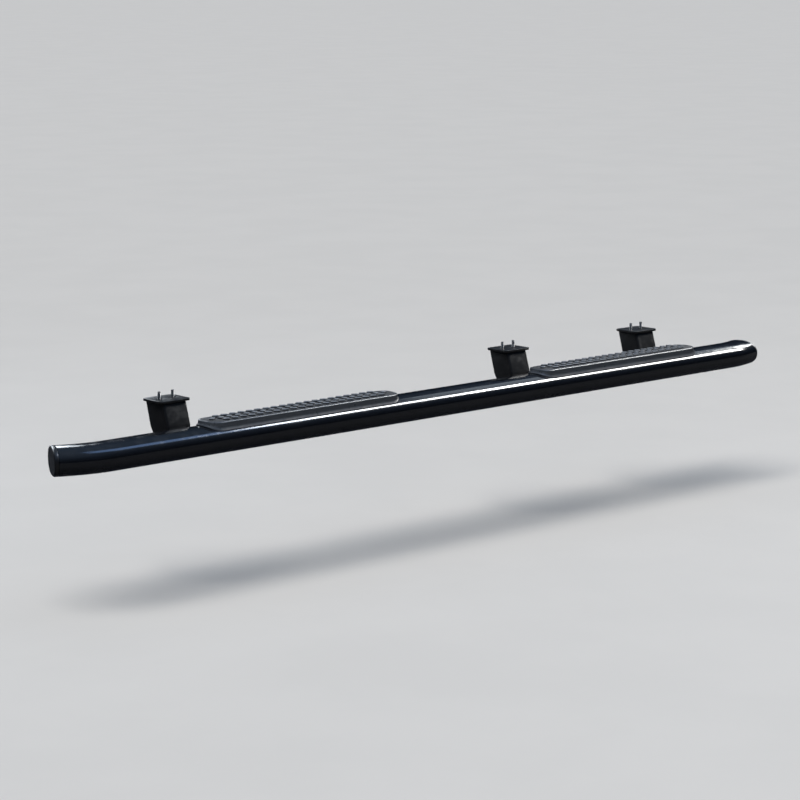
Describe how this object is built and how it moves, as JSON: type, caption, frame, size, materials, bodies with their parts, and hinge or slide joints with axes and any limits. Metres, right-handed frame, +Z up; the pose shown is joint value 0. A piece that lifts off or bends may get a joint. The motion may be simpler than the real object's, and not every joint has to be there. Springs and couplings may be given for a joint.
{
  "type": "running board",
  "caption": "Side step for a pickup: black oval tube bent inboard at its ends, long textured step pads on top, and channel brackets behind that bolt up to the sill.",
  "frame": {"origin": "centre of the middle bracket's mounting face, midway between its two slots", "axes": "+X along the board to the vehicle's front, +Y inboard, -Y outboard, +Z up out of the mounting faces"},
  "size_m": [2.2704, 0.191, 0.1349],
  "materials": {
    "gloss_coat": "gloss black powder coat on steel",
    "satin_coat": "satin black powder coat on pressed steel",
    "cap_plastic": "fine-grained black moulding",
    "pad_plastic": "grained black moulding",
    "pin_plastic": "plain black moulding",
    "tread_rubber": "dark grey textured rubber",
    "dark_zinc": "dark passivated zinc plating"
  },
  "bodies": {
    "root": {"main_tube": "gloss_coat", "end_cap_rear": "cap_plastic", "end_cap_front": "cap_plastic", "pad_base_rear": "pad_plastic", "tread_rear": "tread_rubber", "pad_pin_rear_1": "pin_plastic", "pad_pin_rear_2": "pin_plastic", "pad_pin_rear_3": "pin_plastic", "pad_base_front": "pad_plastic", "tread_front": "tread_rubber", "pad_pin_front_1": "pin_plastic", "pad_pin_front_2": "pin_plastic", "pad_pin_front_3": "pin_plastic", "shoe_rear": "gloss_coat", "bracket_rear": "satin_coat", "top_plate_rear": "satin_coat", "bar_bolt_rear_1": "dark_zinc", "bar_washer_rear_1": "dark_zinc", "weld_nut_rear_1": "dark_zinc", "body_bolt_rear_1": "dark_zinc", "body_washer_rear_1": "dark_zinc", "bar_bolt_rear_2": "dark_zinc", "bar_washer_rear_2": "dark_zinc", "weld_nut_rear_2": "dark_zinc", "body_bolt_rear_2": "dark_zinc", "body_washer_rear_2": "dark_zinc", "shoe_middle": "gloss_coat", "bracket_middle": "satin_coat", "top_plate_middle": "satin_coat", "bar_bolt_middle_1": "dark_zinc", "bar_washer_middle_1": "dark_zinc", "weld_nut_middle_1": "dark_zinc", "body_bolt_middle_1": "dark_zinc", "body_washer_middle_1": "dark_zinc", "bar_bolt_middle_2": "dark_zinc", "bar_washer_middle_2": "dark_zinc", "weld_nut_middle_2": "dark_zinc", "body_bolt_middle_2": "dark_zinc", "body_washer_middle_2": "dark_zinc", "shoe_front": "gloss_coat", "bracket_front": "satin_coat", "top_plate_front": "satin_coat", "bar_bolt_front_1": "dark_zinc", "bar_washer_front_1": "dark_zinc", "weld_nut_front_1": "dark_zinc", "body_bolt_front_1": "dark_zinc", "body_washer_front_1": "dark_zinc", "bar_bolt_front_2": "dark_zinc", "bar_washer_front_2": "dark_zinc", "weld_nut_front_2": "dark_zinc", "body_bolt_front_2": "dark_zinc", "body_washer_front_2": "dark_zinc"}
  },
  "joints": []
}
